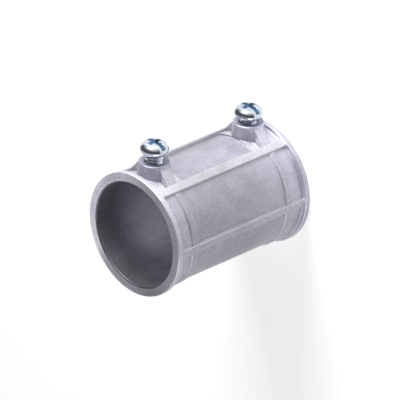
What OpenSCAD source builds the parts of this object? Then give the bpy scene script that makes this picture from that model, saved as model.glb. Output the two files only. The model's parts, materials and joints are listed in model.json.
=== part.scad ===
// Die-cast set screw coupling for thin-wall steel conduit, with its two screws backed off as supplied.
// Frame: the bore runs along Z, the lower end face lies at Z = 0 and both screws point along +X.
// Stations along Z are measured from the end face next to them, because the body is the same at both ends.

/* [Conduit] */
// Outside diameter of the conduit that the coupling takes
conduit_od = 38.35; // [36:0.05:42]
// Gap all round between the conduit and the bore
conduit_gap = 0.28; // [0.1:0.01:0.45]

/* [Barrel] */
// Length of the body from end face to end face
body_length = 64; // [58:0.5:76]
// Thickness of the barrel wall
wall = 1.95; // [1.6:0.05:2.4]
// Width of the ring inside the bore that stops each conduit at mid length
stop_width = 1.6; // [1:0.1:3]
// Height of that ring above the bore
stop_height = 1; // [0.6:0.1:1.6]
// Size of the bevel that leads the conduit into each mouth
mouth_bevel = 0.45; // [0.2:0.05:0.9]

/* [Flange at each end] */
// Height of the flange above the barrel
flange_height = 1.6; // [1.4:0.05:2.4]
// Width of the flange along the bore
flange_width = 2.1; // [1.6:0.1:3]
// Radius on the outer corner of the flange
flange_round = 0.45; // [0.2:0.05:0.7]

/* [Ribs] */
// Height of the two ribs that run round the barrel
hoop_height = 0.45; // [0.3:0.05:0.6]
// Width of the ribs that run round the barrel
hoop_width = 2.5; // [2:0.1:3.6]
// Height of the ribs that run along the barrel beside the screws
top_rib_height = 1.15; // [0.9:0.05:1.25]
// Width of the two long ribs beside the screws
top_rib_width = 3; // [2:0.1:3.4]
// Angle from the screws to each long rib beside them
top_rib_angle = 28.5; // [26:0.5:32]
// Height of the long rib on each side, on the line where the mould halves met
side_rib_height = 0.8; // [0.7:0.05:1]
// Width of the long rib on each side
side_rib_width = 2.5; // [1.6:0.1:3]
// Draft of each long rib's flank, as its foot's spread from the line in which the mould opens
rib_draft = 0.15; // [0.05:0.05:0.3]
// Radius in the corner at the foot of each step and rib
foot_round = 0.35; // [0.1:0.05:0.45]
// Radius on the outer edge of each step and rib
edge_round = 0.2; // [0.05:0.05:0.25]

/* [Panel between the screws] */
// Depth of the shallow panel that is sunk between the two bosses
panel_depth = 0.45; // [0.2:0.05:0.6]
// Distance from each end face to that panel
panel_station = 15; // [13:0.5:20]

/* [Screw bosses] */
// Distance from each end face to the screw beside it
screw_station = 9.2; // [8.6:0.1:11]
// Outside diameter of a boss at its rim
boss_rim_od = 11.2; // [10.4:0.1:12]
// Outside diameter of a boss where it meets the barrel
boss_foot_od = 12; // [11.4:0.1:12.8]
// Height of a boss above the barrel
boss_height = 5; // [4:0.05:6.4]
// Size of the bevel round the rim of a boss
boss_bevel = 0.3; // [0.1:0.05:0.5]
// Width of the two gussets that prop each boss
gusset_width = 4.4; // [3:0.1:5.5]
// Distance from the rim of the boss down to the top of its gussets
gusset_drop = 1.1; // [0.6:0.1:2]

/* [Set screws] */
// Outside diameter of the screw's thread
thread_od = 6.35; // [5.6:0.05:7]
// Gap all round between the thread and its hole
thread_gap = 0.05; // [0.02:0.01:0.1]
// Length of a screw under its head
shank_length = 7.95; // [7.4:0.05:8.2]
// Diameter of the rounded head
head_od = 10.3; // [9.4:0.1:11]
// Thickness of the rounded head
head_height = 4.1; // [3.4:0.1:4.6]
// Radius under the rim of the head
head_lower_round = 1.55; // [1:0.05:1.9]
// Height of the crown on top of the head
head_crown = 0.3; // [0.1:0.05:0.5]
// Diameter of the flat in the middle of the crown
crown_flat_od = 2.4; // [1:0.1:3]
// Gap between the boss and the head of the upper screw
upper_screw_gap = 3.1; // [1.8:0.1:4]
// Gap between the boss and the head of the lower screw
lower_screw_gap = 1.7; // [1.6:0.1:4]
// Width of the straight slot across the head
slot_width = 1.6; // [0.9:0.05:1.7]
// Depth of the straight slot
slot_depth = 1.8; // [1:0.1:2]
// Span of the cross recess at the top of the head
cross_span = 5.6; // [4.6:0.1:6.6]
// Span of the cross recess at its bottom
cross_floor_span = 2.6; // [1.8:0.1:3]
// Width of each wing of the cross recess
cross_wing = 1.8; // [1:0.05:2]
// Depth of the cross recess
cross_depth = 2.3; // [1.8:0.1:2.8]

/* [Hidden] */

$fn = 96;
cut = 1;                                        // how far a cutting shape runs past the face that it cuts
bed = 1;                                        // how far a rib or a boss is rooted in what it stands on
point_bevel = 0.7;                              // bevel round the tip of a screw
hole_bevel = 0.35;                              // bevel at the mouth of a threaded hole
head_pieces = 6;                                // straight pieces in a quarter turn of a screw head's outline
fillet_pieces = 3;                              // straight pieces in the outline of a cast edge or corner
foot_share = 0.6;                               // most of a step's height that its rounded foot may take
edge_share = 0.35;                              // most of a step's height that its rounded edge may take

bore_r = conduit_od / 2 + conduit_gap;
barrel_r = bore_r + wall;
root_r = barrel_r - bed;
flange_r = barrel_r + flange_height;
hoop_r = barrel_r + hoop_height;
top_rib_r = barrel_r + top_rib_height;
side_rib_r = barrel_r + side_rib_height;
panel_r = barrel_r - panel_depth;
rim_r = barrel_r + boss_height;
upper_z = body_length - screw_station;
lower_z = screw_station;
hoop_start = screw_station - hoop_width / 2;    // first edge of a hoop rib, from its end face
hoop_end = screw_station + hoop_width / 2;
thread_r = thread_od / 2;
hole_r = thread_r + thread_gap;
head_upper_round = head_height - head_lower_round;
silver_grey = [0.72, 0.71, 0.73];
zinc_blue = [0.80, 0.84, 0.89];

// Angle that a width takes up on a circle
function span_angle(width, r) = width / r * 180 / PI;

// Points of a rounded corner, from one angle to another
function arc_points(centre, r, from, to, pieces = fillet_pieces) = [
    for (i = [0 : pieces]) let(a = from + (to - from) * i / pieces) centre + r * [cos(a), sin(a)]
];

// Radii that a step of this height has room for, on its foot and on its edge
function foot_of(height) = min(foot_round, foot_share * height);
function edge_of(height) = min(edge_round, edge_share * height);

// Step down in the wall's outline at a station, from a rounded edge to a rounded foot
function step_down(station, outer_r, inner_r) = let(
    foot = foot_of(outer_r - inner_r),
    edge = edge_of(outer_r - inner_r)
) concat(
    arc_points([outer_r - edge, station - edge], edge, 0, 90),
    arc_points([inner_r + foot, station + foot], foot, -90, -180)
);

// Step up in the wall's outline at a station, from a rounded foot to a rounded edge
function step_up(station, inner_r, outer_r) = let(
    foot = foot_of(outer_r - inner_r),
    edge = edge_of(outer_r - inner_r)
) concat(
    arc_points([inner_r + foot, station - foot], foot, 180, 90),
    arc_points([outer_r - edge, station + edge], edge, -90, 0)
);

// Outline of one half of the body's wall, as radius and distance from the end face
function half_profile(inner_r) = concat(
    [[inner_r, 0]],
    arc_points([flange_r - flange_round, flange_round], flange_round, -90, 0),
    step_down(flange_width, flange_r, barrel_r),
    step_up(hoop_start, barrel_r, hoop_r),
    step_down(hoop_end, hoop_r, barrel_r),
    [[barrel_r, body_length / 2 + cut], [inner_r, body_length / 2 + cut]]
);

// One end of the revolved wall with its flange and hoop rib
module half_wall() {
    rotate_extrude() polygon(half_profile(bore_r - stop_height - cut));
}

// Outline of the shallow panel's sinking, as radius and height
function panel_profile() = let(
    z0 = panel_station,
    z1 = body_length - panel_station
) concat(
    step_down(z0, barrel_r, panel_r),
    step_up(z1, panel_r, barrel_r),
    [[barrel_r + cut, z1 + edge_of(panel_depth)], [barrel_r + cut, z0 - edge_of(panel_depth)]]
);

// Space over the shallow panel between the bosses and the two long ribs beside them
module panel_space() {
    rotate_extrude(angle = 2 * top_rib_angle, start = -top_rib_angle) polygon(panel_profile());
}

// Outline of one flank of a long rib that stands along X: its root, its rounded foot and its rounded edge.
// The foot lies at the radius foot_r, and further out than the edge by the spread.
function rib_flank(outer_r, foot_r, half_width, spread) = let(
    lean = atan2(spread, outer_r - foot_r),
    reach = tan((90 - lean) / 2),
    foot_y = half_width + spread + foot_round * reach
) concat(
    [[root_r - foot_round, foot_y]],
    arc_points([foot_r + foot_round, foot_y], foot_round, 180, 270 - lean),
    arc_points([outer_r - edge_round, half_width - edge_round * reach], edge_round, 90 - lean, 0)
);

// A long rib along the body, from the outlines of its two flanks, turned about the bore to its angle
module long_rib(outer_r, mid_angle, flank, other_flank) {
    root_z = flange_width - bed;
    other = [for (i = [len(other_flank) - 1 : -1 : 0]) [other_flank[i].x, -other_flank[i].y]];
    linear_extrude_from(root_z, body_length - root_z) rotate(mid_angle) intersection() {
        circle(r = outer_r);
        polygon(concat(flank, other));
    }
}

// Extrudes a flat outline from one height to another
module linear_extrude_from(z0, z1) {
    translate([0, 0, z0]) linear_extrude(height = z1 - z0) children();
}

// Long ribs: one on each side of the screws, and one on each side of the body.
// The mould opens along X, so the flank of a top rib that faces away from the screws follows X.
module long_ribs() {
    open_spread = (top_rib_r - barrel_r) * tan(top_rib_angle) + rib_draft;
    outward = rib_flank(top_rib_r, barrel_r, top_rib_width / 2, open_spread);
    inward = rib_flank(top_rib_r, panel_r, top_rib_width / 2, rib_draft);
    side = rib_flank(side_rib_r, barrel_r, side_rib_width / 2, rib_draft);
    for (half = [0, 1]) mirror([0, half, 0]) {
        long_rib(top_rib_r, top_rib_angle, outward, inward);
        long_rib(side_rib_r, 90, side, side);
    }
}

// Boss that holds the screw, with a drafted side and a bevelled rim, along +X at the height z
module boss(z) {
    straight = rim_r - boss_bevel - root_r;
    translate([root_r, 0, z]) rotate([0, 90, 0]) {
        cylinder(h = straight, d1 = boss_foot_od, d2 = boss_rim_od);
        translate([0, 0, straight])
            cylinder(h = boss_bevel, d1 = boss_rim_od, d2 = boss_rim_od - 2 * boss_bevel);
    }
}

// Pair of gussets from the sides of a boss down to the long ribs
module gussets(z) {
    foot_angle = top_rib_angle - span_angle(top_rib_width / 2, top_rib_r);
    foot = (top_rib_r - edge_round) * [cos(foot_angle), sin(foot_angle)];
    top_x = rim_r - gusset_drop;
    top_y = boss_rim_od / 2 - boss_bevel;
    linear_extrude_from(z - gusset_width / 2, z + gusset_width / 2) polygon([
        [root_r * cos(foot_angle), foot.y],
        foot,
        [top_x, top_y],
        [top_x, -top_y],
        [foot.x, -foot.y],
        [root_r * cos(foot_angle), -foot.y],
    ]);
}

// Threaded hole through a boss and the barrel wall
module screw_hole(z) {
    translate([0, 0, z]) rotate([0, 90, 0]) {
        translate([0, 0, bore_r - cut - wall]) cylinder(h = rim_r - bore_r + wall + 2 * cut, r = hole_r);
        translate([0, 0, rim_r - hole_bevel])
            cylinder(h = hole_bevel + cut, r1 = hole_r, r2 = hole_r + hole_bevel + cut);
    }
}

// Socket for one conduit, cut from the lower end: the bore up to the stop and the bevel at its mouth
module socket() {
    translate([0, 0, -cut]) cylinder(h = cut + (body_length - stop_width) / 2, r = bore_r);
    translate([0, 0, -cut]) cylinder(h = cut + mouth_bevel, r1 = bore_r + mouth_bevel + cut, r2 = bore_r);
}

// The revolved wall with the shallow panel sunk into it
module wall_with_panel() {
    difference() {
        union() {
            half_wall();
            translate([0, 0, body_length]) mirror([0, 0, 1]) half_wall();
        }
        panel_space();
    }
}

// The casting: wall, flanges, ribs, bosses and gussets in one piece
module coupling_body() {
    color(silver_grey) difference() {
        union() {
            wall_with_panel();
            long_ribs();
            for (z = [lower_z, upper_z]) {
                boss(z);
                gussets(z);
            }
        }
        socket();
        translate([0, 0, body_length]) mirror([0, 0, 1]) socket();
        translate([0, 0, -cut]) cylinder(h = body_length + 2 * cut, r = bore_r - stop_height);
        screw_hole(lower_z);
        screw_hole(upper_z);
    }
}

// Outline of a screw, as radius and height above the underside of its head
function screw_profile() = concat(
    [
        [0, -shank_length],
        [thread_r - point_bevel, -shank_length],
        [thread_r, -shank_length + point_bevel],
        [thread_r, 0],
    ],
    arc_points([head_od / 2 - head_lower_round, head_lower_round], head_lower_round, -90, 0, head_pieces),
    arc_points(
        [head_od / 2 - head_upper_round, head_lower_round], head_upper_round, 90 / head_pieces, 90, head_pieces - 1
    ),
    [
        [crown_flat_od / 2, head_height + head_crown],
        [0, head_height + head_crown],
    ]
);

// One wing pair of the cross recess, tapered towards its bottom
module cross_wings() {
    top_z = head_height + head_crown;
    rise = cross_depth + cut;
    spread = (cross_span - cross_floor_span) / 2 * rise / cross_depth;
    translate([0, 0, top_z - cross_depth]) rotate([90, 0, 0]) translate([0, 0, -cross_wing / 2])
        linear_extrude(height = cross_wing) polygon([
            [-cross_floor_span / 2, 0],
            [cross_floor_span / 2, 0],
            [cross_floor_span / 2 + spread, rise],
            [-cross_floor_span / 2 - spread, rise],
        ]);
}

// Screw with a thick rounded head, a cross recess and a straight slot, standing on Z
module set_screw() {
    top_z = head_height + head_crown;
    difference() {
        rotate_extrude() polygon(screw_profile());
        cross_wings();
        rotate(90) cross_wings();
        translate([-slot_width / 2, -head_od, top_z - slot_depth])
            cube([slot_width, 2 * head_od, slot_depth + cut]);
    }
}

// A screw in its boss, with its head backed off from the rim by a gap
module seated_screw(z, gap) {
    color(zinc_blue) translate([rim_r + gap, 0, z]) rotate([0, 90, 0]) set_screw();
}

module upper_set_screw() {
    seated_screw(upper_z, upper_screw_gap);
}

module lower_set_screw() {
    seated_screw(lower_z, lower_screw_gap);
}

coupling_body();
upper_set_screw();
lower_set_screw();
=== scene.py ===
"""Finishes the die-cast conduit coupling and lights it on a pale studio floor.

The CAD body keeps its shape and gets an as-cast zinc surface. Both set screws are rebuilt with
a rolled thread and a rounded, recessed head. All lengths are in metres, in the part's own frame.
"""

import json
import math

import bmesh
import bpy
from bpy.props import FloatProperty, FloatVectorProperty, IntProperty, PointerProperty
from mathutils import Matrix, Vector


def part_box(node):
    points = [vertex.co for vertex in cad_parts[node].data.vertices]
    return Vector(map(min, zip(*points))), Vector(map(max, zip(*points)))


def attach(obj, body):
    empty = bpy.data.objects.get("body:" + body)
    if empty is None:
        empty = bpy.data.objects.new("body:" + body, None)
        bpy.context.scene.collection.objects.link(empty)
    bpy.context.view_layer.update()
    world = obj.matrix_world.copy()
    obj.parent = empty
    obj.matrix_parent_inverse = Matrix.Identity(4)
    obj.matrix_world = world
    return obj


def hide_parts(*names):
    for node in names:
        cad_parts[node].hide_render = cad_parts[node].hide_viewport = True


bl_info = {
    "name": "Conduit coupling",
    "version": (1, 0, 0),
    "blender": (4, 5, 0),
    "location": "View3D > Sidebar > Coupling",
    "description": "Finishes a die-cast set screw coupling and sets up its studio",
    "category": "Object",
}

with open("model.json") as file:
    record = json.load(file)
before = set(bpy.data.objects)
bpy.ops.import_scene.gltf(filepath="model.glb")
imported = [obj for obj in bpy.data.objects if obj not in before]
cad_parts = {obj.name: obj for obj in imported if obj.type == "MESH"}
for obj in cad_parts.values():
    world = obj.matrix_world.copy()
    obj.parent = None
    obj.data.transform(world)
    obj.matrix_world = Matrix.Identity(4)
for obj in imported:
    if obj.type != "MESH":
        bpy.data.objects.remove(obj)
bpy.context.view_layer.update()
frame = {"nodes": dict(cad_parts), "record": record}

MM = 0.001
SCREWS = {"upper_set_screw": "upper_screw", "lower_set_screw": "lower_screw"}
SCREW_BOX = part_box("upper_set_screw")
BODY_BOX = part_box("coupling_body")
BORE_RADIUS = frame["record"]["mounts"][0]["dims"]["r_mm"] * MM
HALF_LENGTH = (BODY_BOX[1].z - BODY_BOX[0].z) / 2
MIDDLE = BODY_BOX[0].z + HALF_LENGTH
HEAD_RADIUS = (SCREW_BOX[1].y - SCREW_BOX[0].y) / 2
SCREW_LENGTH = SCREW_BOX[1].x - SCREW_BOX[0].x


# Settings


class CastSettings(bpy.types.PropertyGroup):
    """Sizes and finish of the zinc casting."""

    wall: FloatProperty(
        name="Wall", description="Thickness of the barrel's wall", unit="LENGTH",
        min=0.001, max=0.01, default=1.95 * MM, precision=5,
    )
    flange_width: FloatProperty(
        name="Flange width", description="Width of each flange along the bore", unit="LENGTH",
        min=0.001, max=0.01, default=2.1 * MM, precision=5,
    )
    panel_length: FloatProperty(
        name="Panel length", description="Length of the shallow panel between the bosses", unit="LENGTH",
        min=0.01, max=0.06, default=34 * MM, precision=5,
    )
    panel_width: FloatProperty(
        name="Panel width", description="Width of the shallow panel between the long ribs", unit="LENGTH",
        min=0.005, max=0.03, default=21 * MM, precision=5,
    )
    panel_depth: FloatProperty(
        name="Panel depth", description="Depth of the shallow panel", unit="LENGTH",
        min=0, max=0.001, default=0.45 * MM, precision=5,
    )
    colour: FloatVectorProperty(
        name="Casting colour", description="Colour of the bare cast zinc", subtype="COLOR",
        size=3, min=0, max=1, default=(0.365, 0.350, 0.412),
    )
    # Only a tint; the extra lightness of these places comes from the lifts below, which are mostly painted
    # light.
    worn_colour: FloatVectorProperty(
        name="Worn colour", description="Colour of the cleaner metal on the high ribs and round the bosses",
        subtype="COLOR", size=3, min=0, max=1, default=(0.375, 0.362, 0.395),
    )
    # Edge colour paints a highlight along the edges, and also tints the flow marks.
    edge_colour: FloatVectorProperty(
        name="Edge colour", description="Colour of burnished edges", subtype="COLOR",
        size=3, min=0, max=1, default=(0.80, 0.77, 0.78),
    )
    # This colour paints shade into the corners at the foot of ribs and bosses.
    crease_shade_colour: FloatVectorProperty(
        name="Crease colour", description="Colour in the corners at the foot of ribs and bosses",
        subtype="COLOR", size=3, min=0, max=1, default=(0.13, 0.12, 0.16),
    )
    bore_colour: FloatVectorProperty(
        name="Bore colour", description="Colour of the duller metal inside the bore", subtype="COLOR",
        size=3, min=0, max=1, default=(0.39, 0.38, 0.435),
    )
    # Partly the darker faced top of each boss, partly painted shade from the screw head and a painted bluish
    # reflection.
    boss_top_colour: FloatVectorProperty(
        name="Boss top colour", description="Colour of the flat top of each boss", subtype="COLOR",
        size=3, min=0, max=1, default=(0.20, 0.205, 0.265),
    )
    # The lifts below are painted light on the ribs, the bosses and flanges, the barrel round the bosses and
    # beside each flange, each flange's inner side and the lower end; on the high ribs and round the bosses
    # they partly stand for worn metal too.
    low_rib_lift: FloatProperty(
        name="Low rib lift", description="How much lighter the low ribs are than the barrel",
        min=0.5, max=2, default=1.04,
    )
    high_rib_lift: FloatProperty(
        name="High rib lift", description="How much lighter the high ribs are than the barrel",
        min=0.5, max=2, default=1.28,
    )
    rim_lift: FloatProperty(
        name="Rim lift", description="How much lighter the bosses and flanges are than the barrel",
        min=0.5, max=2, default=1.42,
    )
    boss_foot_lift: FloatProperty(
        name="Boss foot lift", description="How much lighter the barrel is round the bosses",
        min=0.5, max=2, default=1.38,
    )
    end_lift: FloatProperty(
        name="End lift", description="How much lighter the barrel is beside each flange",
        min=0.5, max=2, default=1.13,
    )
    flange_back_lift: FloatProperty(
        name="Flange back lift", description="How much lighter each flange's inner side is than the barrel",
        min=0.5, max=3, default=1.9,
    )
    lower_lift: FloatProperty(
        name="Lower lift", description="How much lighter the lower end is than the rest",
        min=0.5, max=2, default=1.15,
    )
    bevel_shade: FloatProperty(
        name="Bevel shade", description="How much of its lightness the bevel in each mouth keeps",
        subtype="FACTOR", min=0, max=1, default=0.55,
    )
    step_shade: FloatProperty(
        name="Step shade", description="How much of its lightness the step round the panel keeps",
        subtype="FACTOR", min=0, max=1, default=0.45,
    )
    ring_shade: FloatProperty(
        name="Ring shade", description="How much of its lightness the fine ring on each end face keeps",
        subtype="FACTOR", min=0, max=1, default=0.62,
    )
    metallic: FloatProperty(
        name="Metallic", description="How much bare metal shows through the dull skin", subtype="FACTOR",
        min=0, max=1, default=0.7,
    )
    roughness: FloatProperty(
        name="Roughness", description="How dull the as-cast surface is", subtype="FACTOR",
        min=0, max=1, default=0.48,
    )
    edge_radius: FloatProperty(
        name="Edge radius", description="Softness of every cast edge and corner", unit="LENGTH",
        min=0, max=0.002, default=0.42 * MM, precision=5,
    )
    edge_polish: FloatProperty(
        name="Edge polish", description="How much less dull burnished edges are", subtype="FACTOR",
        min=0, max=1, default=0.1,
    )
    # How strongly the edges get their painted highlight.
    edge_highlight: FloatProperty(
        name="Edge wear", description="How strongly edges are burnished", subtype="FACTOR",
        min=0, max=1, default=0.8,
    )
    # The corners' painted shade and their extra roughness reach this far; the strength below sets how dark
    # the painted shade is.
    crease_reach: FloatProperty(
        name="Crease reach", description="How far from a corner the metal is duller", unit="LENGTH",
        min=0, max=0.005, default=0.8 * MM, precision=5,
    )
    crease_shade_strength: FloatProperty(
        name="Crease strength", description="How strongly corners are dulled", subtype="FACTOR",
        min=0, max=1, default=0.6,
    )
    crease_dullness: FloatProperty(
        name="Crease dullness", description="How much duller corners are", subtype="FACTOR",
        min=0, max=1, default=0.12,
    )
    grain_size: FloatProperty(
        name="Grain size", description="Size of the fine casting grain", unit="LENGTH",
        min=0.0001, max=0.005, default=0.5 * MM, precision=5,
    )
    grain_depth: FloatProperty(
        name="Grain depth", description="Depth of the fine casting grain", unit="LENGTH",
        min=0, max=0.001, default=0.03 * MM, precision=6,
    )
    grain_contrast: FloatProperty(
        name="Grain contrast", description="How far the grain lightens and darkens the metal",
        subtype="FACTOR", min=0, max=1, default=0.16,
    )
    mottle_size: FloatProperty(
        name="Mottle size", description="Size of the soft mottling in the skin", unit="LENGTH",
        min=0.001, max=0.05, default=4.5 * MM, precision=5,
    )
    mottle_contrast: FloatProperty(
        name="Mottle contrast", description="How far the mottling lightens and darkens the metal",
        subtype="FACTOR", min=0, max=1, default=0.06,
    )
    cloud_size: FloatProperty(
        name="Cloud size", description="Size of the broad light and dark clouds", unit="LENGTH",
        min=0.001, max=0.1, default=22 * MM, precision=5,
    )
    cloud_contrast: FloatProperty(
        name="Cloud contrast", description="How far the clouds lighten and darken the metal",
        subtype="FACTOR", min=0, max=1, default=0.08,
    )
    draw_mark_size: FloatProperty(
        name="Draw mark size", description="Width of the marks drawn along the bore", unit="LENGTH",
        min=0.0005, max=0.01, default=1.8 * MM, precision=5,
    )
    flow_mark_size: FloatProperty(
        name="Flow mark size", description="Size of the marks that the flowing metal left", unit="LENGTH",
        min=0.0005, max=0.01, default=2.6 * MM, precision=5,
    )
    flow_strength: FloatProperty(
        name="Flow strength", description="How strongly the flow marks show", subtype="FACTOR",
        min=0, max=1, default=0.1,
    )
    flow_length: FloatProperty(
        name="Flow length", description="Length of the zone at each end where the metal left flow marks",
        unit="LENGTH", min=0, max=0.02, default=8 * MM, precision=5,
    )


class ScrewSettings(bpy.types.PropertyGroup):
    """Sizes and finish of the two set screws."""

    colour: FloatVectorProperty(
        name="Plating colour", description="Colour of the bright zinc plating", subtype="COLOR",
        size=3, min=0, max=1, default=(0.55, 0.59, 0.67),
    )
    recess_colour: FloatVectorProperty(
        name="Recess tint", description="Colour of the passivated plating inside the recess", subtype="COLOR",
        size=3, min=0, max=1, default=(0.42, 0.54, 0.66),
    )
    roughness: FloatProperty(
        name="Roughness", description="How dull the plating is", subtype="FACTOR", min=0, max=1, default=0.14,
    )
    recess_roughness: FloatProperty(
        name="Recess roughness", description="How dull the plating inside the recess is", subtype="FACTOR",
        min=0, max=1, default=0.2,
    )
    thread_diameter: FloatProperty(
        name="Thread diameter", description="Outside diameter of the thread", unit="LENGTH",
        min=0.002, max=0.01, default=6.35 * MM, precision=5,
    )
    thread_pitch: FloatProperty(
        name="Thread pitch", description="Distance from one turn of the thread to the next", unit="LENGTH",
        min=0.0004, max=0.003, default=1.27 * MM, precision=5,
    )
    thread_depth: FloatProperty(
        name="Thread depth", description="Height of the thread above its root", unit="LENGTH",
        min=0.0002, max=0.002, default=0.7 * MM, precision=5,
    )
    thread_flat: FloatProperty(
        name="Thread flat", description="Half the width of the thread's crest, as a share of the pitch",
        subtype="FACTOR", min=0, max=0.2, default=0.06,
    )
    tip_bevel: FloatProperty(
        name="Tip bevel", description="Size of the bevel round the screw's tip", unit="LENGTH",
        min=0, max=0.002, default=0.7 * MM, precision=5,
    )
    head_height: FloatProperty(
        name="Head height", description="Height of the head up to the edge of its crown", unit="LENGTH",
        min=0.002, max=0.006, default=4.1 * MM, precision=5,
    )
    head_crown: FloatProperty(
        name="Head crown", description="Height of the crown over the rim of the head", unit="LENGTH",
        min=0, max=0.001, default=0.3 * MM, precision=5,
    )
    lower_round: FloatProperty(
        name="Lower round", description="Radius under the rim of the head", unit="LENGTH",
        min=0.0005, max=0.003, default=1.55 * MM, precision=5,
    )
    slot_width: FloatProperty(
        name="Slot width", description="Width of the straight slot", unit="LENGTH",
        min=0.0005, max=0.002, default=1.6 * MM, precision=5,
    )
    slot_depth: FloatProperty(
        name="Slot depth", description="Depth of the straight slot", unit="LENGTH",
        min=0.0005, max=0.003, default=1.8 * MM, precision=5,
    )
    cross_span: FloatProperty(
        name="Cross span", description="Span of the cross recess at the top of the head", unit="LENGTH",
        min=0.003, max=0.008, default=5.6 * MM, precision=5,
    )
    cross_floor_span: FloatProperty(
        name="Cross floor span", description="Span of the cross recess at its bottom", unit="LENGTH",
        min=0.001, max=0.005, default=2.6 * MM, precision=5,
    )
    cross_wing: FloatProperty(
        name="Cross wing", description="Width of each wing of the cross recess", unit="LENGTH",
        min=0.0005, max=0.003, default=1.8 * MM, precision=5,
    )
    cross_depth: FloatProperty(
        name="Cross depth", description="Depth of the cross recess", unit="LENGTH",
        min=0.001, max=0.004, default=2.3 * MM, precision=5,
    )
    edge_radius: FloatProperty(
        name="Edge radius", description="Softness of the plated edges", unit="LENGTH",
        min=0, max=0.001, default=0.14 * MM, precision=5,
    )
    segments: IntProperty(
        name="Segments", description="Number of faces round the head and the thread",
        min=24, max=128, default=72,
    )
    turn_segments: IntProperty(
        name="Turn segments", description="Number of faces along each turn of the thread",
        min=4, max=32, default=12,
    )


class StageSettings(bpy.types.PropertyGroup):
    """Floor, sky, lamps and camera of the studio."""

    floor_colour: FloatVectorProperty(
        name="Floor colour", description="Colour of the studio floor", subtype="COLOR",
        size=3, min=0, max=1, default=(0.80, 0.80, 0.80),
    )
    floor_radius: FloatProperty(
        name="Floor radius", description="Radius of the round floor", unit="LENGTH",
        min=0.5, max=10, default=3,
    )
    floor_gap: FloatProperty(
        name="Floor gap", description="How far the floor lies under the part", unit="LENGTH",
        min=0, max=0.001, default=0.02 * MM, precision=5,
    )
    floor_lift: FloatProperty(
        name="Floor lift", description="How much whiter the floor looks to the camera",
        min=0, max=1, default=0.68,
    )
    sky_colour: FloatVectorProperty(
        name="Sky colour", description="Colour of the studio all round", subtype="COLOR",
        size=3, min=0, max=1, default=(1.0, 0.99, 1.0),
    )
    side_level: FloatProperty(
        name="Side level", description="Brightness of the sky beside the part", min=0, max=1, default=0.12,
    )
    under_level: FloatProperty(
        name="Under level", description="Brightness of the sky away from the screws, behind the part",
        min=0, max=1, default=0.9,
    )
    sky_strength: FloatProperty(
        name="Sky strength", description="Light from all round the studio", min=0, max=2, default=0.15,
    )
    lamp_distance: FloatProperty(
        name="Lamp distance", description="Distance from each lamp to the aim", unit="LENGTH",
        min=0.1, max=5, default=0.6,
    )
    lamp_size: FloatProperty(
        name="Lamp size", description="Side of each square lamp", unit="LENGTH", min=0.01, max=2, default=0.3,
    )
    key_power: FloatProperty(
        name="Key power", description="Power of the lamp on the screws' side, in watts",
        min=0, max=50, default=5.8,
    )
    key_azimuth: FloatProperty(
        name="Key azimuth", description="Direction of the key round the part, 0 at its screws",
        unit="ROTATION", default=math.radians(10),
    )
    key_elevation: FloatProperty(
        name="Key elevation", description="Height of the key over the horizon", unit="ROTATION",
        default=math.radians(13),
    )
    fill_power: FloatProperty(
        name="Fill power", description="Power of the lamp on the other side, in watts",
        min=0, max=50, default=0.9,
    )
    fill_azimuth: FloatProperty(
        name="Fill azimuth", description="Direction of the fill round the part, 0 at its screws",
        unit="ROTATION", default=math.radians(225),
    )
    fill_elevation: FloatProperty(
        name="Fill elevation", description="Height of the fill over the horizon", unit="ROTATION",
        default=math.radians(22),
    )
    aim: FloatVectorProperty(
        name="Aim", description="Point in the middle of the camera's view", unit="LENGTH",
        subtype="TRANSLATION", size=3, default=(1.98 * MM, 0.80 * MM, 31.30 * MM), precision=5,
    )
    azimuth: FloatProperty(
        name="Azimuth", description="Direction of the camera round the part, 0 at its -Y side",
        unit="ROTATION", default=math.radians(36.79),
    )
    elevation: FloatProperty(
        name="Elevation", description="Height of the camera over the horizon", unit="ROTATION",
        default=math.radians(37.90),
    )
    roll: FloatProperty(
        name="Roll", description="Turn of the camera about its own view, so that the part seems to lie",
        unit="ROTATION", default=math.radians(-113.31),
    )
    distance: FloatProperty(
        name="Distance", description="Distance from the camera to its aim", unit="LENGTH",
        min=0.1, default=2.2004,
    )
    focal_length: FloatProperty(
        name="Focal length", description="Focal length of the lens, in millimetres",
        min=10, max=1000, default=560.85,
    )


# Node helpers


def add_node(tree, kind, **settings):
    """Adds one node and sets its plain settings."""
    node = tree.nodes.new(kind)
    for name, value in settings.items():
        setattr(node, name, value)
    return node


def feed(tree, socket, value):
    """Sets a socket to a number or colour, or links another node's output to it."""
    if isinstance(value, bpy.types.NodeSocket):
        tree.links.new(value, socket)
    else:
        socket.default_value = value


def feed_all(tree, node, values):
    """Feeds sockets of a node by their names. Returns the node."""
    for name, value in values.items():
        feed(tree, node.inputs[name], value)
    return node


def maths(tree, operation, *values):
    """A Math node on numbers or sockets. Returns its output."""
    node = add_node(tree, "ShaderNodeMath", operation=operation)
    for socket, value in zip(node.inputs, values):
        feed(tree, socket, value)
    return node.outputs[0]


def product(tree, first, *others):
    """Masks or factors multiplied together."""
    for other in others:
        first = maths(tree, "MULTIPLY", first, other)
    return first


def inverse(tree, mask):
    """The mask of all that a mask leaves out."""
    return maths(tree, "SUBTRACT", 1.0, mask)


def remap(tree, value, low, high, out_low=0.0, out_high=1.0):
    """A smooth Map Range from one span to another. Returns its output."""
    node = add_node(tree, "ShaderNodeMapRange", interpolation_type="SMOOTHSTEP")
    for socket, number in zip(node.inputs, (value, low, high, out_low, out_high)):
        feed(tree, socket, number)
    return node.outputs["Result"]


def above(tree, value, level, soft):
    """The mask of all that lies above a level, with a border as wide as soft."""
    return remap(tree, value, level - soft / 2, level + soft / 2)


def below(tree, value, level, soft):
    """The mask of all that lies below a level, with a border as wide as soft."""
    return remap(tree, value, level + soft / 2, level - soft / 2)


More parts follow.
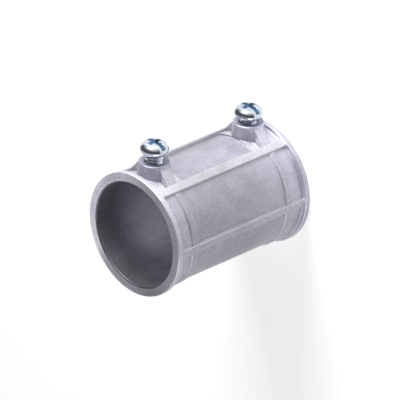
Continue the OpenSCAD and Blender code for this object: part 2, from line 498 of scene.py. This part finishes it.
def varied(tree, pattern, middle, amount, span=0.2):
    """A value that wanders about its middle with a pattern, whose own values lie within span of 0.5."""
    return remap(tree, pattern, 0.5 - span, 0.5 + span, middle - amount, middle + amount)


def mix_number(tree, factor, first, second, kind="FLOAT"):
    """A Mix node on two numbers, or on values of another kind. Returns its output."""
    node = add_node(tree, "ShaderNodeMix", data_type=kind)
    return feed_all(tree, node, {"Factor": factor, "A": first, "B": second}).outputs["Result"]


def mix_colour(tree, factor, first, second):
    """A Mix node on two colours. Returns its output."""
    return mix_number(tree, factor, first, second, kind="RGBA")


def vector_maths(tree, operation, *values, **named):
    """A Vector Math node on vectors or sockets, with named inputs. Returns its vector."""
    node = add_node(tree, "ShaderNodeVectorMath", operation=operation)
    for socket, value in zip(node.inputs, values):
        feed(tree, socket, value)
    return feed_all(tree, node, named).outputs["Vector"]


def scaled_colour(tree, colour, factor):
    """A colour times a factor, up to white."""
    return vector_maths(tree, "MINIMUM", vector_maths(tree, "SCALE", colour, Scale=factor), (1, 1, 1))


def stretched(tree, position, along):
    """The position with its Z scaled down, so that a pattern runs along the bore."""
    return vector_maths(tree, "MULTIPLY", position, (1, 1, along))


def split(tree, position):
    """The X, Y and Z of a position."""
    parts = add_node(tree, "ShaderNodeSeparateXYZ")
    feed(tree, parts.inputs[0], position)
    return parts.outputs


def new_material(name):
    """A new material, its node tree and its surface shader."""
    material = bpy.data.materials.new(name)
    material.use_nodes = True
    return material, material.node_tree, material.node_tree.nodes["Principled BSDF"]


def new_group(name, sockets_in, sockets_out):
    """A shader node group with named sockets. Returns the group and its input and output nodes."""
    group = bpy.data.node_groups.new(name, "ShaderNodeTree")
    for socket_name, kind, default in sockets_in:
        socket = group.interface.new_socket(name=socket_name, in_out="INPUT", socket_type=kind)
        if default is not None:
            socket.default_value = default
    for socket_name, kind in sockets_out:
        group.interface.new_socket(name=socket_name, in_out="OUTPUT", socket_type=kind)
    return group, add_node(group, "NodeGroupInput"), add_node(group, "NodeGroupOutput")


def place_group(tree, group, **values):
    """Places a node group in a material with its own values. Returns its outputs."""
    node = add_node(tree, "ShaderNodeGroup", node_tree=group)
    named = {name.replace("_", " ").capitalize(): value for name, value in values.items()}
    return feed_all(tree, node, named).outputs


# Finishes


def metal_grain_group():
    """Fine grain and soft clouds of a metal surface, built once for every material."""
    built = bpy.data.node_groups.get("Metal grain")
    if built:
        return built
    group, given, made = new_group(
        "Metal grain",
        [
            ("Position", "NodeSocketVector", None),
            ("Grain size", "NodeSocketFloat", 0.4 * MM),
            ("Cloud size", "NodeSocketFloat", 6 * MM),
        ],
        [("Grain", "NodeSocketFloat"), ("Clouds", "NodeSocketFloat")],
    )
    for output, size, detail, roughness in (
        ("Grain", "Grain size", 3.0, 0.6),
        ("Clouds", "Cloud size", 4.0, 0.55),
    ):
        texture = feed_all(group, add_node(group, "ShaderNodeTexNoise"), {
            "Vector": given.outputs["Position"],
            "Scale": maths(group, "DIVIDE", 1.0, given.outputs[size]),
            "Detail": detail,
            "Roughness": roughness,
        })
        feed(group, made.inputs[output], texture.outputs["Fac"])
    return group


def edge_and_crease(tree, settings):
    """Masks of edges, where the surface bends, and of corners, and the rounded normal."""
    rounded = add_node(tree, "ShaderNodeBevel", samples=8)
    feed(tree, rounded.inputs["Radius"], settings.edge_radius)
    likeness = add_node(tree, "ShaderNodeVectorMath", operation="DOT_PRODUCT")
    feed(tree, likeness.inputs[0], rounded.outputs["Normal"])
    feed(tree, likeness.inputs[1], add_node(tree, "ShaderNodeNewGeometry").outputs["Normal"])
    bend = below(tree, likeness.outputs["Value"], 0.9625, soft=0.065)
    # Occlusion finds the corners, where shade is painted and the metal is rougher.
    shelter = add_node(tree, "ShaderNodeAmbientOcclusion", samples=8)
    feed(tree, shelter.inputs["Distance"], settings.crease_reach)
    crease = below(tree, shelter.outputs["AO"], 0.675, soft=0.45)
    return product(tree, bend, inverse(tree, crease)), crease, rounded.outputs["Normal"]


def casting_zones(tree, settings, position):
    """Masks of the casting's parts by name, and the light and shade painted across its end faces and along
    its bore. Levels are in metres: over the bore's wall or the barrel, from the middle, or along an axis."""
    x, y, z = split(tree, position)
    radius = maths(tree, "SQRT", maths(tree, "ADD", product(tree, x, x), product(tree, y, y)))
    over_bore = maths(tree, "SUBTRACT", radius, BORE_RADIUS)
    over_barrel = maths(tree, "SUBTRACT", over_bore, settings.wall)
    across = maths(tree, "ABSOLUTE", y)
    from_middle = maths(tree, "ABSOLUTE", maths(tree, "SUBTRACT", z, MIDDLE))
    flange_back = HALF_LENGTH - settings.flange_width
    panel_end = settings.panel_length / 2
    flow_start = HALF_LENGTH - settings.flow_length

    low_ribs = above(tree, over_barrel, 0.25 * MM, soft=0.3 * MM)
    mouth = below(tree, over_bore, 1 * MM, soft=0.4 * MM)
    barrel = product(tree, inverse(tree, low_ribs), inverse(tree, mouth))
    screw_side = product(
        tree, above(tree, x, 15.5 * MM, soft=1 * MM),
        below(tree, across, settings.panel_width / 2, soft=1 * MM),
    )
    past_panel = above(tree, from_middle, panel_end + 0.35 * MM, soft=0.5 * MM)
    return {
        "low ribs": low_ribs,
        "high ribs": above(tree, over_barrel, 0.85 * MM, soft=0.3 * MM),
        "rims": above(tree, over_barrel, 1.325 * MM, soft=0.25 * MM),
        "mouth": mouth,
        "mouth bevel": product(
            tree, above(tree, over_bore, 0.04 * MM, soft=0.04 * MM),
            below(tree, over_bore, 0.45 * MM, soft=0.1 * MM),
        ),
        "bore": below(tree, over_bore, 0.375 * MM, soft=0.15 * MM),
        "boss tops": above(tree, x, BODY_BOX[1].x - 0.175 * MM, soft=0.15 * MM),
        "boss feet": product(tree, screw_side, past_panel, barrel),
        "panel ends": product(
            tree, screw_side, above(tree, from_middle, panel_end - 0.75 * MM, soft=0.5 * MM),
        ),
        "panel step": product(
            tree, screw_side, inverse(tree, past_panel),
            above(tree, over_barrel, 0.045 * MM - settings.panel_depth, soft=0.04 * MM),
            below(tree, over_barrel, -0.04 * MM, soft=0.05 * MM),
        ),
        "flange backs": product(
            tree, above(tree, over_barrel, 0.11 * MM, soft=0.18 * MM),
            above(tree, from_middle, flange_back - 0.35 * MM, soft=0.3 * MM),
            below(tree, from_middle, flange_back + 0.1 * MM, soft=0.1 * MM),
        ),
        "barrel ends": product(tree, above(tree, from_middle, flow_start + 0.5 * MM, soft=1 * MM), barrel),
        "lower end": product(
            tree, below(tree, z, 18 * MM, soft=16 * MM),
            below(tree, from_middle, flange_back - 0.25 * MM, soft=0.5 * MM),
        ),
        "end faces": above(tree, from_middle, HALF_LENGTH - 0.1 * MM, soft=0.1 * MM),
        "face ring": product(
            tree, above(tree, over_bore, 1.65 * MM, soft=0.2 * MM),
            below(tree, over_bore, 1.9 * MM, soft=0.2 * MM),
        ),
        # Painted light and shade: the end faces are lighter towards +Y and darker towards -X.
        "painted face light": product(
            tree, remap(tree, y, -10 * MM, 8 * MM, 1.1, 1.85),
            remap(tree, y, 12 * MM, 21 * MM, 1.0, 1.35),
            remap(tree, x, -20 * MM, -10 * MM, 0.7, 1.0),
        ),
        # Painted shade and light: the bore is darker at each mouth and lighter deeper in, darker towards -X
        # and a little at its sides.
        "painted bore light": product(
            tree, remap(tree, from_middle, 26 * MM, 9 * MM, 0.6, 2.05),
            remap(tree, x, -19 * MM, -14 * MM, 0.7, 1.0),
            remap(tree, across, 19 * MM, 14 * MM, 0.95, 1.0),
        ),
    }


def casting_lightness(tree, settings, zone, patches):
    """How light each part of the casting is beside the plain barrel, which is 1."""
    lightness = 1.0
    # Each lift paints light on its zone; then the end faces and the bore get painted light and shade, and the
    # mouth bevels and the panel step painted shade.
    for name, lift in (
        ("barrel ends", settings.end_lift),
        ("low ribs", settings.low_rib_lift),
        ("high ribs", settings.high_rib_lift),
        ("rims", settings.rim_lift),
        ("boss feet", settings.boss_foot_lift),
        ("flange backs", settings.flange_back_lift),
    ):
        lightness = mix_number(tree, zone[name], lightness, lift)
    lightness = product(tree, lightness, mix_number(tree, zone["lower end"], 1.0, settings.lower_lift))
    broken_ring = product(tree, zone["face ring"], above(tree, patches, 0.5, soft=0.1))
    face = product(tree, zone["painted face light"], mix_number(tree, broken_ring, 1.0, settings.ring_shade))
    lightness = mix_number(tree, zone["end faces"], lightness, face)
    lightness = mix_number(tree, zone["bore"], lightness, zone["painted bore light"])
    for name, shade in (("mouth bevel", settings.bevel_shade), ("panel step", settings.step_shade)):
        lightness = product(tree, lightness, mix_number(tree, zone[name], 1.0, shade))
    return lightness


def casting_patterns(tree, settings, grain, position):
    """The patterns in the casting's skin, by name. Three of them are drawn out along the bore."""
    skin = place_group(
        tree, grain, position=position, grain_size=settings.grain_size, cloud_size=settings.mottle_size,
    )
    patterns = {"grain": skin["Grain"], "mottle": skin["Clouds"]}
    for name, size, along in (
        ("draw marks", settings.draw_mark_size, 0.2),
        ("flow marks", settings.flow_mark_size, 0.6),
        ("clouds", settings.cloud_size, 0.8),
    ):
        drawn_out = stretched(tree, position, along)
        patterns[name] = place_group(tree, grain, position=drawn_out, cloud_size=size)["Clouds"]
    return patterns


def casting_colour(tree, settings, zone, pattern, edge, crease):
    """The casting's colour: the tint of each zone, its lightness with its painted light and shade, and its
    patterns, then flow marks, a painted highlight on the edges and painted shade in the corners."""
    bare_ribs = product(tree, zone["high ribs"], inverse(tree, zone["rims"]))
    colour = (*settings.colour, 1)
    # The boss tops' tint is partly painted shade and a painted reflection.
    for mask, tint in (
        (maths(tree, "MAXIMUM", bare_ribs, zone["boss feet"]), settings.worn_colour),
        (zone["boss tops"], settings.boss_top_colour),
        (zone["bore"], settings.bore_colour),
    ):
        colour = mix_colour(tree, mask, colour, (*tint, 1))

    mottle = mix_number(tree, zone["bore"], pattern["mottle"], pattern["draw marks"])
    factor = product(
        tree, casting_lightness(tree, settings, zone, pattern["flow marks"]),
        varied(tree, mottle, 1.0, settings.mottle_contrast),
        varied(tree, pattern["clouds"], 1.0, settings.cloud_contrast, span=0.15),
        varied(tree, pattern["grain"], 1.0, settings.grain_contrast, span=0.22),
    )
    colour = scaled_colour(tree, colour, factor)

    flow = product(tree, zone["barrel ends"], above(tree, pattern["flow marks"], 0.56, soft=0.12))
    # Painted shade in the corners, but not in the bore or on the flanges' inner sides.
    unshaded_corner = maths(tree, "MAXIMUM", zone["bore"], zone["flange backs"])
    shaded_corner = product(tree, crease, inverse(tree, unshaded_corner))
    for mask, strength, tint in (
        (flow, settings.flow_strength, settings.edge_colour),
        (edge, settings.edge_highlight, settings.edge_colour),
        (shaded_corner, settings.crease_shade_strength, settings.crease_shade_colour),
    ):
        colour = mix_colour(tree, product(tree, mask, strength), colour, (*tint, 1))
    return colour


def zinc_casting(settings, grain):
    """As-cast zinc: a dull grey skin with fine grain and soft mottling, edges with a painted highlight and a
    little polish, creases with painted shade and more roughness, and a bore with draw marks along it and
    painted shade and light, darker at the mouths and lighter deeper in."""
    material, tree, shader = new_material("as_cast_zinc")
    position = add_node(tree, "ShaderNodeTexCoord").outputs["Object"]
    zone = casting_zones(tree, settings, position)
    pattern = casting_patterns(tree, settings, grain, position)
    edge, crease, rounded = edge_and_crease(tree, settings)
    # The edges' painted highlight and polish leave out the mouths, and reach the panel's ends only a little.
    plain_edge = maths(tree, "MAXIMUM", zone["mouth"], product(tree, zone["panel ends"], 0.8))
    edge = product(tree, edge, inverse(tree, plain_edge))
    feed(tree, shader.inputs["Base Color"], casting_colour(tree, settings, zone, pattern, edge, crease))
    feed(tree, shader.inputs["Metallic"], settings.metallic)

    roughness = varied(tree, pattern["mottle"], settings.roughness, 0.04)
    roughness = maths(tree, "ADD", roughness, product(tree, crease, settings.crease_dullness))
    roughness = maths(tree, "SUBTRACT", roughness, product(tree, edge, settings.edge_polish))
    feed(tree, shader.inputs["Roughness"], roughness)

    bump = feed_all(tree, add_node(tree, "ShaderNodeBump"), {
        "Distance": settings.grain_depth,
        "Strength": 1.0,
        "Height": pattern["grain"],
        "Normal": rounded,
    })
    feed(tree, shader.inputs["Normal"], bump.outputs["Normal"])
    return material


def zinc_plating(name, colour, roughness, edge_radius, grain):
    """Bright zinc plating on a steel screw, with a slight haze."""
    material, tree, shader = new_material(name)
    position = add_node(tree, "ShaderNodeTexCoord").outputs["Object"]
    haze = place_group(tree, grain, position=position, cloud_size=1.6 * MM)["Clouds"]
    feed(tree, shader.inputs["Base Color"], scaled_colour(tree, (*colour,), varied(tree, haze, 0.99, 0.07)))
    feed(tree, shader.inputs["Metallic"], 1.0)
    feed(tree, shader.inputs["Roughness"], varied(tree, haze, roughness + 0.01, 0.04))
    rounded = add_node(tree, "ShaderNodeBevel", samples=6)
    feed(tree, rounded.inputs["Radius"], edge_radius)
    feed(tree, shader.inputs["Normal"], rounded.outputs["Normal"])
    return material


# Set screws


def thread_tree():
    """Geometry Nodes tree for a rolled screw thread that hangs below the origin, with a bevelled tip."""
    tree = bpy.data.node_groups.new("Rolled thread", "GeometryNodeTree")
    for kind, names in (
        ("NodeSocketFloat", ("Major radius", "Depth", "Pitch", "Flat", "Length", "Tip bevel")),
        ("NodeSocketInt", ("Faces round", "Faces per turn")),
        ("NodeSocketMaterial", ("Plating",)),
    ):
        for name in names:
            tree.interface.new_socket(name=name, in_out="INPUT", socket_type=kind)
    tree.interface.new_socket(name="Thread", in_out="OUTPUT", socket_type="NodeSocketGeometry")
    given = add_node(tree, "NodeGroupInput").outputs
    made = add_node(tree, "NodeGroupOutput")

    turns = maths(tree, "DIVIDE", given["Length"], given["Pitch"])
    rod = add_node(tree, "GeometryNodeMeshCylinder", fill_type="NGON")
    feed_all(tree, rod, {
        "Vertices": given["Faces round"],
        "Side Segments": product(tree, turns, given["Faces per turn"]),
        "Radius": given["Major radius"],
        "Depth": given["Length"],
    })

    x, y, z = split(tree, add_node(tree, "GeometryNodeInputPosition").outputs[0])
    turn = maths(tree, "DIVIDE", maths(tree, "ARCTAN2", y, x), 2 * math.pi)
    along = maths(tree, "DIVIDE", z, given["Pitch"])
    wave = maths(tree, "PINGPONG", maths(tree, "SUBTRACT", along, turn), 0.5)
    crest = feed_all(tree, add_node(tree, "ShaderNodeMapRange"), {
        "Value": wave,
        "From Min": given["Flat"],
        "From Max": maths(tree, "SUBTRACT", 0.5, given["Flat"]),
    })
    root = maths(tree, "SUBTRACT", given["Major radius"], given["Depth"])
    threaded = maths(tree, "ADD", root, product(tree, crest.outputs["Result"], given["Depth"]))
    half = maths(tree, "MULTIPLY", given["Length"], 0.5)
    tip_radius = maths(tree, "SUBTRACT", given["Major radius"], given["Tip bevel"])
    tip_limit = maths(tree, "ADD", tip_radius, maths(tree, "ADD", z, half))
    scale = maths(tree, "DIVIDE", maths(tree, "MINIMUM", threaded, tip_limit), given["Major radius"])

    place = feed_all(tree, add_node(tree, "ShaderNodeCombineXYZ"), {
        "X": product(tree, x, scale),
        "Y": product(tree, y, scale),
        "Z": maths(tree, "SUBTRACT", z, half),
    })
    node = feed_all(tree, add_node(tree, "GeometryNodeSetPosition"), {
        "Geometry": rod.outputs["Mesh"],
        "Position": place.outputs[0],
    })
    for kind in ("GeometryNodeSetShadeSmooth", "GeometryNodeRealizeInstances", "GeometryNodeSetMaterial"):
        shape = node.outputs[0]
        node = add_node(tree, kind)
        feed(tree, node.inputs[0], shape)
    feed(tree, node.inputs["Material"], given["Plating"])
    feed(tree, made.inputs[0], node.outputs[0])
    return tree


def evaluated_mesh(obj, name):
    """The object's mesh with its modifiers applied."""
    depsgraph = bpy.context.evaluated_depsgraph_get()
    mesh = bpy.data.meshes.new_from_object(obj.evaluated_get(depsgraph))
    mesh.name = name
    return mesh


def thread_mesh(tree, settings, shank_length, plating):
    """Runs the thread tree on a scratch object and returns the plain mesh."""
    host = bpy.data.objects.new("thread", bpy.data.meshes.new("thread"))
    bpy.context.scene.collection.objects.link(host)
    modifier = host.modifiers.new("Rolled thread", "NODES")
    modifier.node_group = tree
    values = {
        "Major radius": settings.thread_diameter / 2,
        "Depth": settings.thread_depth,
        "Pitch": settings.thread_pitch,
        "Flat": settings.thread_flat,
        "Length": shank_length,
        "Tip bevel": settings.tip_bevel,
        "Faces round": settings.segments,
        "Faces per turn": settings.turn_segments,
        "Plating": plating,
    }
    for item in tree.interface.items_tree:
        if item.item_type == "SOCKET" and item.in_out == "INPUT":
            modifier[item.identifier] = values[item.name]
    host.update_tag()
    mesh = evaluated_mesh(host, "thread")
    for face in mesh.polygons:
        face.material_index = 0
    bpy.data.objects.remove(host)
    return mesh


def corner(radius, height, bend, start, end, steps):
    """Points of a rounded corner in a (radius, height) outline, between two angles in degrees."""
    turns = [math.radians(start + (end - start) * step / steps) for step in range(steps + 1)]
    return [(radius + bend * math.cos(turn), height + bend * math.sin(turn)) for turn in turns]


def head_outline(settings):
    """Half outline of the head as (radius, height) points: a thick rounded rim under a low crown."""
    lower, upper = settings.lower_round, settings.head_height - settings.lower_round
    points = [(0, 0)]
    points += corner(HEAD_RADIUS - lower, lower, lower, start=-90, end=0, steps=8)
    points += corner(HEAD_RADIUS - upper, lower, upper, start=0, end=80, steps=12)[1:]
    rim_radius, rim_height = points[-1]
    rise = settings.head_height + settings.head_crown - rim_height
    crown_steps = 8
    for step in range(1, crown_steps + 1):
        share = step / crown_steps
        points.append((rim_radius * (1 - share), rim_height + rise * math.sin(share * math.pi / 2)))
    return points


def mesh_from(shape, name):
    """A mesh from a finished bmesh, which is freed."""
    mesh = bpy.data.meshes.new(name)
    shape.to_mesh(mesh)
    shape.free()
    return mesh


def revolved(outline, segments, name):
    """A closed mesh made by turning an outline about Z."""
    shape = bmesh.new()
    points = [shape.verts.new((radius, 0, height)) for radius, height in outline]
    edges = [shape.edges.new(pair) for pair in zip(points, points[1:])]
    bmesh.ops.spin(
        shape, geom=points + edges, axis=(0, 0, 1), cent=(0, 0, 0), steps=segments, angle=2 * math.pi,
    )
    bmesh.ops.remove_doubles(shape, verts=shape.verts, dist=0.0001 * MM)
    bmesh.ops.recalc_face_normals(shape, faces=shape.faces)
    mesh = mesh_from(shape, name)
    mesh.shade_smooth()
    return mesh


def recess_cutter(bottom_span, top_span, width, bottom, top, turn):
    """The mesh of a tapered bar across Z that cuts one arm pair of a recess."""
    shape = bmesh.new()
    corners = []
    for height, half in ((bottom, bottom_span / 2), (top, top_span / 2)):
        for x, y in ((-half, -width / 2), (half, -width / 2), (half, width / 2), (-half, width / 2)):
            corners.append(shape.verts.new((x, y, height)))
    for face in ((3, 2, 1, 0), (4, 5, 6, 7), (0, 1, 5, 4), (1, 2, 6, 5), (2, 3, 7, 6), (3, 0, 4, 7)):
        shape.faces.new([corners[i] for i in face])
    bmesh.ops.rotate(shape, verts=shape.verts, matrix=Matrix.Rotation(turn, 3, "Z"))
    return mesh_from(shape, "cutter")


def plate(mesh, platings):
    """Gives a mesh its material slots: the plating outside, then the one inside the recess."""
    for plating in platings:
        mesh.materials.append(plating)


def head_mesh(settings, platings):
    """The screw head with its cross recess and straight slot cut in."""
    head = bpy.data.objects.new("head", revolved(head_outline(settings), settings.segments, "head"))
    plate(head.data, platings)
    bpy.context.scene.collection.objects.link(head)
    top = settings.head_height + settings.head_crown
    cutter_top = top + 1 * MM
    rise = (cutter_top - top + settings.cross_depth) / settings.cross_depth
    span = settings.cross_floor_span + (settings.cross_span - settings.cross_floor_span) * rise
    slot_span = 4 * HEAD_RADIUS
    cross = (settings.cross_floor_span, span, settings.cross_wing, top - settings.cross_depth, cutter_top)
    slot = (slot_span, slot_span, settings.slot_width, top - settings.slot_depth, cutter_top)
    cutters = []
    for bar, turn in ((cross, 0.0), (cross, math.pi / 2), (slot, math.pi / 2)):
        mesh = recess_cutter(*bar, turn)
        plate(mesh, platings)
        for face in mesh.polygons:
            face.material_index = 1
        cutter = bpy.data.objects.new("cutter", mesh)
        bpy.context.scene.collection.objects.link(cutter)
        cutters.append(cutter)
        cut = head.modifiers.new("Recess", "BOOLEAN")
        cut.operation = "DIFFERENCE"
        cut.solver = "EXACT"
        cut.material_mode = "INDEX"
        cut.object = cutter
    mesh = evaluated_mesh(head, "head")
    for obj in [head, *cutters]:
        bpy.data.objects.remove(obj)
    return mesh


def joined(meshes, matrix, name):
    """One mesh from several, moved to its place."""
    shape = bmesh.new()
    for mesh in meshes:
        shape.from_mesh(mesh)
    bmesh.ops.transform(shape, matrix=matrix, verts=shape.verts)
    return mesh_from(shape, name)


# Stage


def make_floor(settings):
    """A wide round floor under the part, which looks nearly white to the camera."""
    shape = bmesh.new()
    bmesh.ops.create_circle(shape, cap_ends=True, radius=settings.floor_radius, segments=96)
    floor = bpy.data.objects.new("floor", mesh_from(shape, "floor"))
    floor.location.z = -settings.floor_gap
    material, tree, shader = new_material("pale_floor")
    feed_all(tree, shader, {
        "Base Color": (*settings.floor_colour, 1),
        "Roughness": 0.9,
        "Specular IOR Level": 0.0,
        "Emission Color": (1, 1, 1, 1),
        "Emission Strength": product(tree, seen_directly(tree), settings.floor_lift),
    })
    floor.data.materials.append(material)
    bpy.context.scene.collection.objects.link(floor)


def seen_directly(tree):
    """1 for rays that show the surroundings: to the camera, in the metal or through glass."""
    path = add_node(tree, "ShaderNodeLightPath").outputs
    seen = maths(tree, "MAXIMUM", path["Is Camera Ray"], path["Is Glossy Ray"])
    return maths(tree, "MAXIMUM", seen, path["Is Transmission Ray"])


def make_world(scene, settings):
    """A pale studio: white over the screws and in front of the part, and dimmer beside and behind it."""
    world = bpy.data.worlds.new("studio")
    world.use_nodes = True
    scene.world = world
    tree = world.node_tree
    sky = tree.nodes["Background"]
    x, y, _ = split(tree, add_node(tree, "ShaderNodeTexCoord").outputs["Generated"])
    over_screws = remap(tree, x, 0.4, 0.85, settings.side_level, 1.0)
    front_to_back = remap(tree, y, 0.5, -0.5, settings.under_level, 1.0)
    away_from_screws = remap(tree, x, -0.1, -0.5, settings.side_level, front_to_back)
    level = mix_number(tree, maths(tree, "GREATER_THAN", x, 0.0), away_from_screws, over_screws)
    feed(tree, sky.inputs["Color"], scaled_colour(tree, (*settings.sky_colour,), level))
    feed(tree, sky.inputs["Strength"], mix_number(tree, seen_directly(tree), settings.sky_strength, 1.0))


def make_camera(scene, settings):
    """A long lens at the photograph's angle, rolled so that the standing part seems to lie."""
    az, el = settings.azimuth, settings.elevation
    back = Vector((math.cos(el) * math.sin(az), -math.cos(el) * math.cos(az), math.sin(el)))
    level = Vector((math.cos(az), math.sin(az), 0))
    rise = back.cross(level)
    right = level * math.cos(settings.roll) + rise * math.sin(settings.roll)
    up = rise * math.cos(settings.roll) - level * math.sin(settings.roll)
    camera = bpy.data.objects.new("camera", bpy.data.cameras.new("camera"))
    camera.data.lens = settings.focal_length
    camera.data.sensor_width = 36
    camera.data.clip_end = 20
    place = Matrix((right, up, back)).transposed().to_4x4()
    place.translation = Vector(settings.aim) + back * settings.distance
    camera.matrix_world = place
    scene.collection.objects.link(camera)
    scene.camera = camera


def make_lamps(settings):
    """A soft key low over the screws' side and a weaker fill from the other side, both facing the aim."""
    for name, azimuth, elevation, power in (
        ("key", settings.key_azimuth, settings.key_elevation, settings.key_power),
        ("fill", settings.fill_azimuth, settings.fill_elevation, settings.fill_power),
    ):
        level = Vector((math.cos(azimuth), math.sin(azimuth), 0))
        toward = level * math.cos(elevation) + Vector((0, 0, math.sin(elevation)))
        lamp = bpy.data.lights.new(name, "AREA")
        lamp.shape = "SQUARE"
        lamp.size = settings.lamp_size
        lamp.energy = power
        obj = bpy.data.objects.new(name, lamp)
        place = toward.to_track_quat("Z", "Y").to_matrix().to_4x4()
        place.translation = Vector(settings.aim) + toward * settings.lamp_distance
        obj.matrix_world = place
        obj.visible_camera = False
        bpy.context.scene.collection.objects.link(obj)


# Operators


class COUPLING_OT_finish_body(bpy.types.Operator):
    """Give the casting its as-cast zinc surface"""

    bl_idname = "coupling.finish_body"
    bl_label = "Finish casting"

    def execute(self, context):
        settings = context.scene.coupling_cast
        body = frame["nodes"]["coupling_body"]
        body.material_slots[0].material = zinc_casting(settings, metal_grain_group())
        return {"FINISHED"}


class COUPLING_OT_make_screws(bpy.types.Operator):
    """Make both zinc-plated set screws with their threads and recessed heads"""

    bl_idname = "coupling.make_screws"
    bl_label = "Make set screws"

    def execute(self, context):
        settings = context.scene.coupling_screws
        grain = metal_grain_group()
        platings = [
            zinc_plating(name, colour, roughness, settings.edge_radius, grain)
            for name, colour, roughness in (
                ("zinc_plating", settings.colour, settings.roughness),
                ("recess_plating", settings.recess_colour, settings.recess_roughness),
            )
        ]
        head_top = settings.head_height + settings.head_crown
        thread = thread_mesh(thread_tree(), settings, SCREW_LENGTH - head_top, platings[0])
        head = head_mesh(settings, platings)
        for node, body in SCREWS.items():
            low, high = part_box(node)
            under_head = Vector((high.x - head_top, 0, (low.z + high.z) / 2))
            place = Matrix.Translation(under_head) @ Matrix.Rotation(math.pi / 2, 4, "Y")
            mesh = joined([head, thread], place, node)
            plate(mesh, platings)
            screw = bpy.data.objects.new(node.replace("set", "threaded_set"), mesh)
            context.scene.collection.objects.link(screw)
            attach(screw, body)
            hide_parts(node)
        return {"FINISHED"}


class COUPLING_OT_set_stage(bpy.types.Operator):
    """Set up the pale floor, the soft lamps, the world and the camera"""

    bl_idname = "coupling.set_stage"
    bl_label = "Set stage"

    def execute(self, context):
        settings = context.scene.coupling_stage
        make_floor(settings)
        make_world(context.scene, settings)
        make_camera(context.scene, settings)
        make_lamps(settings)
        context.scene.view_settings.view_transform = "Standard"
        return {"FINISHED"}


# Sidebar and registration


class COUPLING_PT_sidebar(bpy.types.Panel):
    """Steps that finish the coupling, in their order"""

    bl_idname = "COUPLING_PT_sidebar"
    bl_label = "Conduit coupling"
    bl_space_type = "VIEW_3D"
    bl_region_type = "UI"
    bl_category = "Coupling"

    def draw(self, context):
        scene = context.scene
        for settings, operator in (
            (scene.coupling_cast, COUPLING_OT_finish_body),
            (scene.coupling_screws, COUPLING_OT_make_screws),
            (scene.coupling_stage, COUPLING_OT_set_stage),
        ):
            box = self.layout.box()
            for name in settings.bl_rna.properties.keys():
                if name not in ("rna_type", "name"):
                    box.prop(settings, name)
            box.operator(operator.bl_idname)


CLASSES = (
    CastSettings,
    ScrewSettings,
    StageSettings,
    COUPLING_OT_finish_body,
    COUPLING_OT_make_screws,
    COUPLING_OT_set_stage,
    COUPLING_PT_sidebar,
)


def register():
    for cls in CLASSES:
        bpy.utils.register_class(cls)
    bpy.types.Scene.coupling_cast = PointerProperty(type=CastSettings)
    bpy.types.Scene.coupling_screws = PointerProperty(type=ScrewSettings)
    bpy.types.Scene.coupling_stage = PointerProperty(type=StageSettings)


def unregister():
    del bpy.types.Scene.coupling_stage
    del bpy.types.Scene.coupling_screws
    del bpy.types.Scene.coupling_cast
    for cls in reversed(CLASSES):
        bpy.utils.unregister_class(cls)


def main():
    register()
    bpy.ops.coupling.finish_body()
    bpy.ops.coupling.make_screws()
    bpy.ops.coupling.set_stage()


if __name__ == "__main__":
    main()
